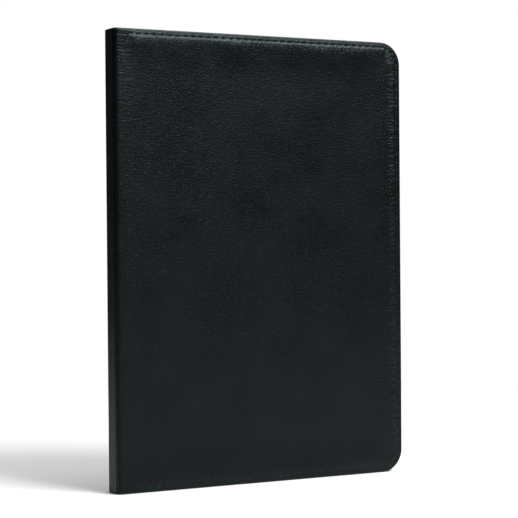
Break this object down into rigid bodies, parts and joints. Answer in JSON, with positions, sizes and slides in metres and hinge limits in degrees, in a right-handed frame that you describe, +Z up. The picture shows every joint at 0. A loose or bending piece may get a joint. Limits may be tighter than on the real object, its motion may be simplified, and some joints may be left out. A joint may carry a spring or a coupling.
{
  "type": "tablet case",
  "caption": "Slim book folio tablet case with a grained leatherette cover, hinged spine and a moulded inner tray.",
  "frame": {"origin": "middle of the bottom edge of the closed, standing case", "axes": "+X from the spine to the free edges, +Y from the front cover to the back cover, +Z up"},
  "size_m": [0.182, 0.014, 0.25],
  "materials": {
    "outer_leather": "satin grained",
    "thread": "satin",
    "suede_lining": "matte napped",
    "foam": "matte",
    "board": "matte",
    "magnet": "satin plated",
    "plate_steel": "satin",
    "tray_plastic": "fine spark texture",
    "adhesive": "matte"
  },
  "bodies": {
    "back_cover": {"back_outer_leather": "outer_leather", "back_padding": "foam", "back_board": "board", "back_lining": "suede_lining", "back_stitching": "thread", "closure_plates": "plate_steel", "tray_floor": "tray_plastic", "tray_side_walls": "tray_plastic", "tray_corner_clips": "tray_plastic", "tray_liner": "suede_lining", "tray_adhesive": "adhesive"},
    "spine": {"spine_leather": "outer_leather", "spine_board": "board", "spine_lining": "suede_lining", "front_hinge_leather": "outer_leather", "rear_hinge_leather": "outer_leather", "front_hinge_lining": "suede_lining", "rear_hinge_lining": "suede_lining"},
    "front_cover": {"front_outer_leather": "outer_leather", "front_padding": "foam", "front_board": "board", "front_lining": "suede_lining", "front_stitching": "thread", "closure_magnets": "magnet", "wake_magnets": "magnet"}
  },
  "joints": [
    {"name": "rear_hinge", "type": "hinge", "parent": "back_cover", "child": "spine", "pos_m": [-0.09036, 0.00636, 0.125], "axis": [0, 0, -1], "range_deg": [0, 180]},
    {"name": "front_hinge", "type": "hinge", "parent": "spine", "child": "front_cover", "pos_m": [-0.09036, -0.00636, 0.125], "axis": [0, 0, -1], "range_deg": [0, 180]}
  ]
}
